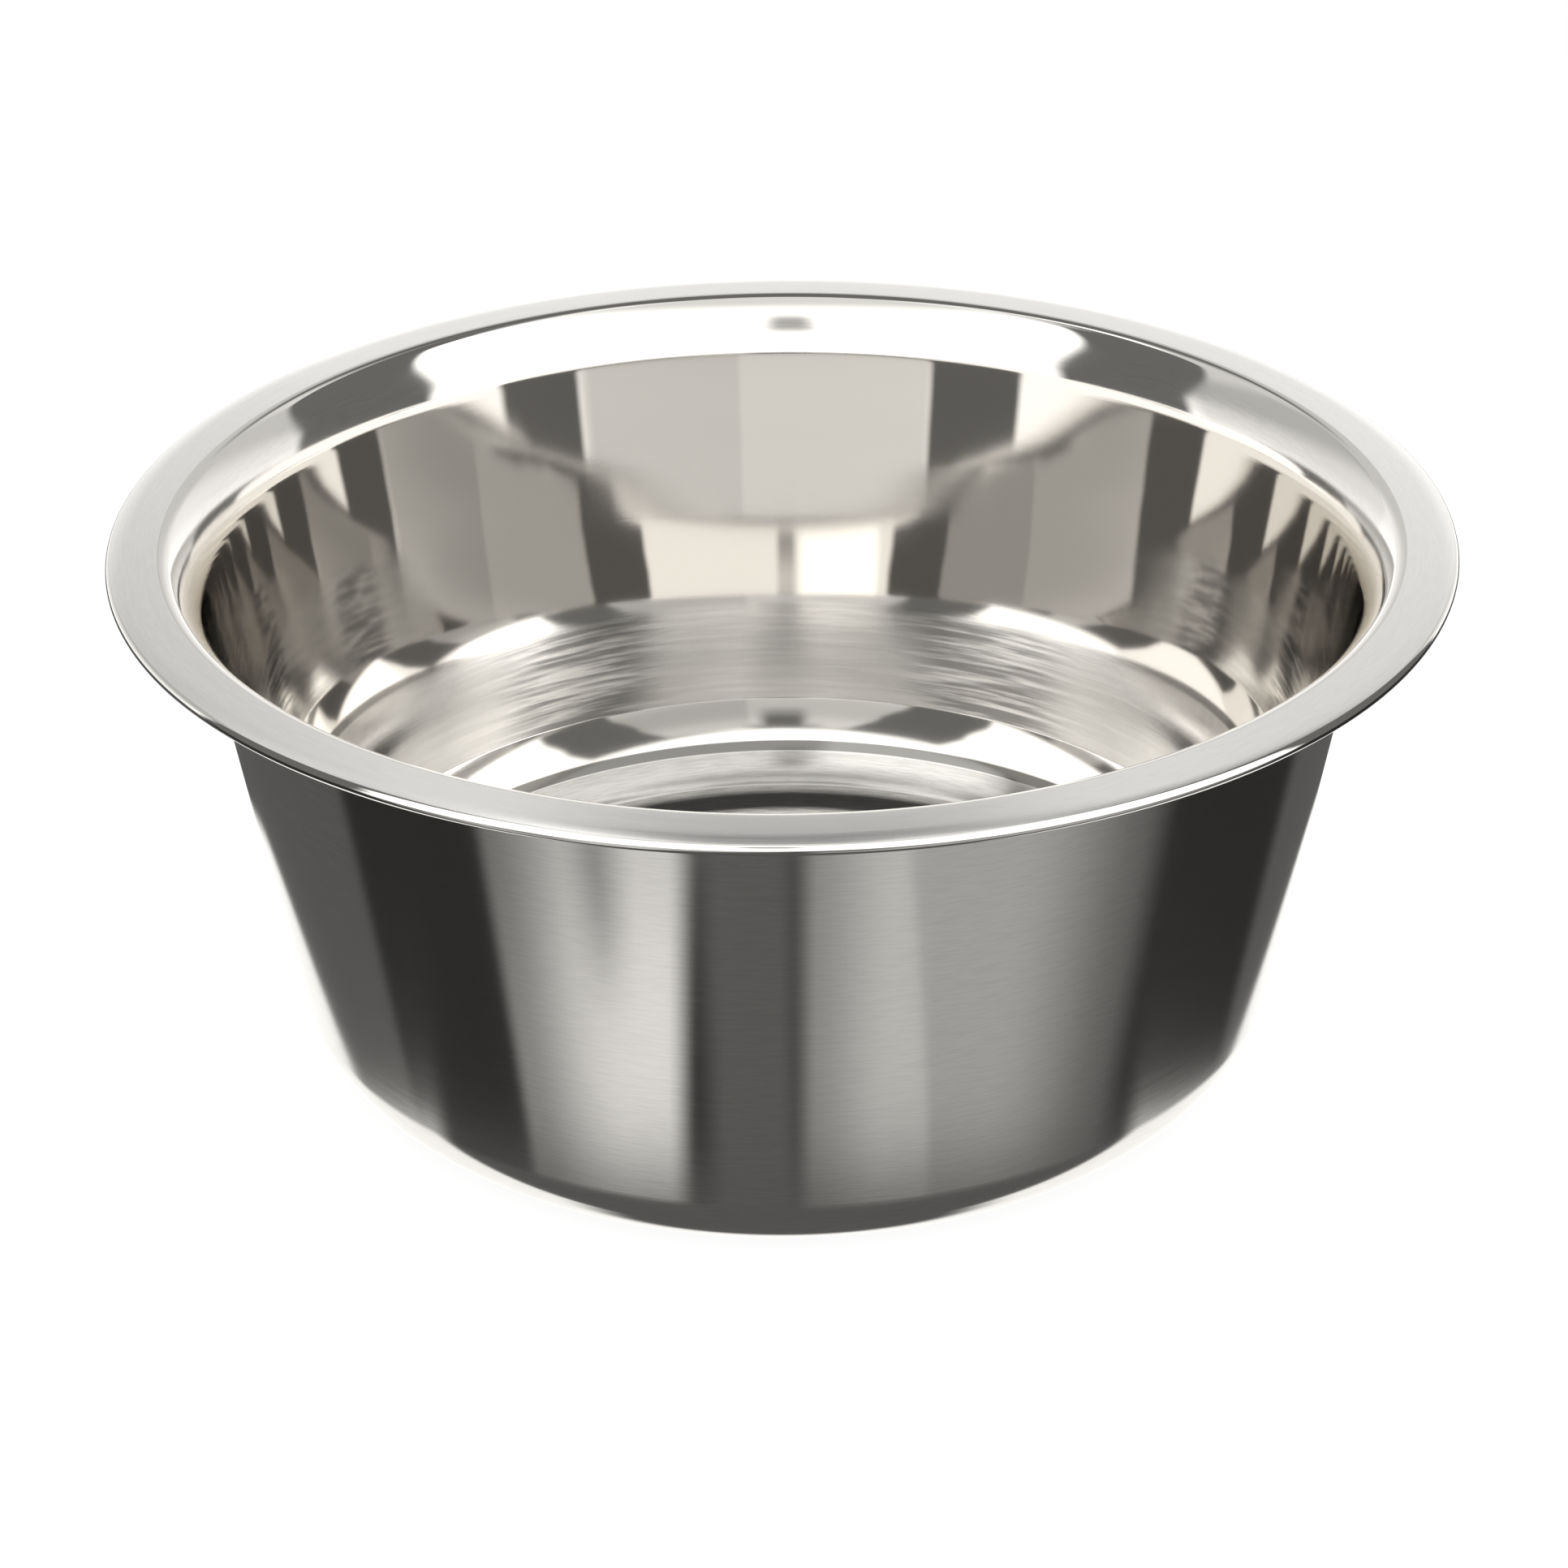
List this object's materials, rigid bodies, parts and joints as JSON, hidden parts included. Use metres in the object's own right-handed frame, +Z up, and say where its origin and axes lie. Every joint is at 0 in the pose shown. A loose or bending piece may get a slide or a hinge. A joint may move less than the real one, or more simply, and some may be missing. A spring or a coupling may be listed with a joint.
{
  "type": "pet food bowl",
  "caption": "Round stainless steel pet food bowl with a leaning wall, rounded mouth, narrow flange with a rolled edge and a flat standing base, for food or water.",
  "frame": {"origin": "middle of the plane that the bowl stands on", "axes": "+Z up along the bowl's axis of turning, +X and +Y level"},
  "size_m": [0.21, 0.21, 0.0875],
  "materials": {
    "steel": "polished inside and out, with a satin flange"
  },
  "bodies": {
    "root": {"bowl_shell": "steel"}
  },
  "joints": []
}
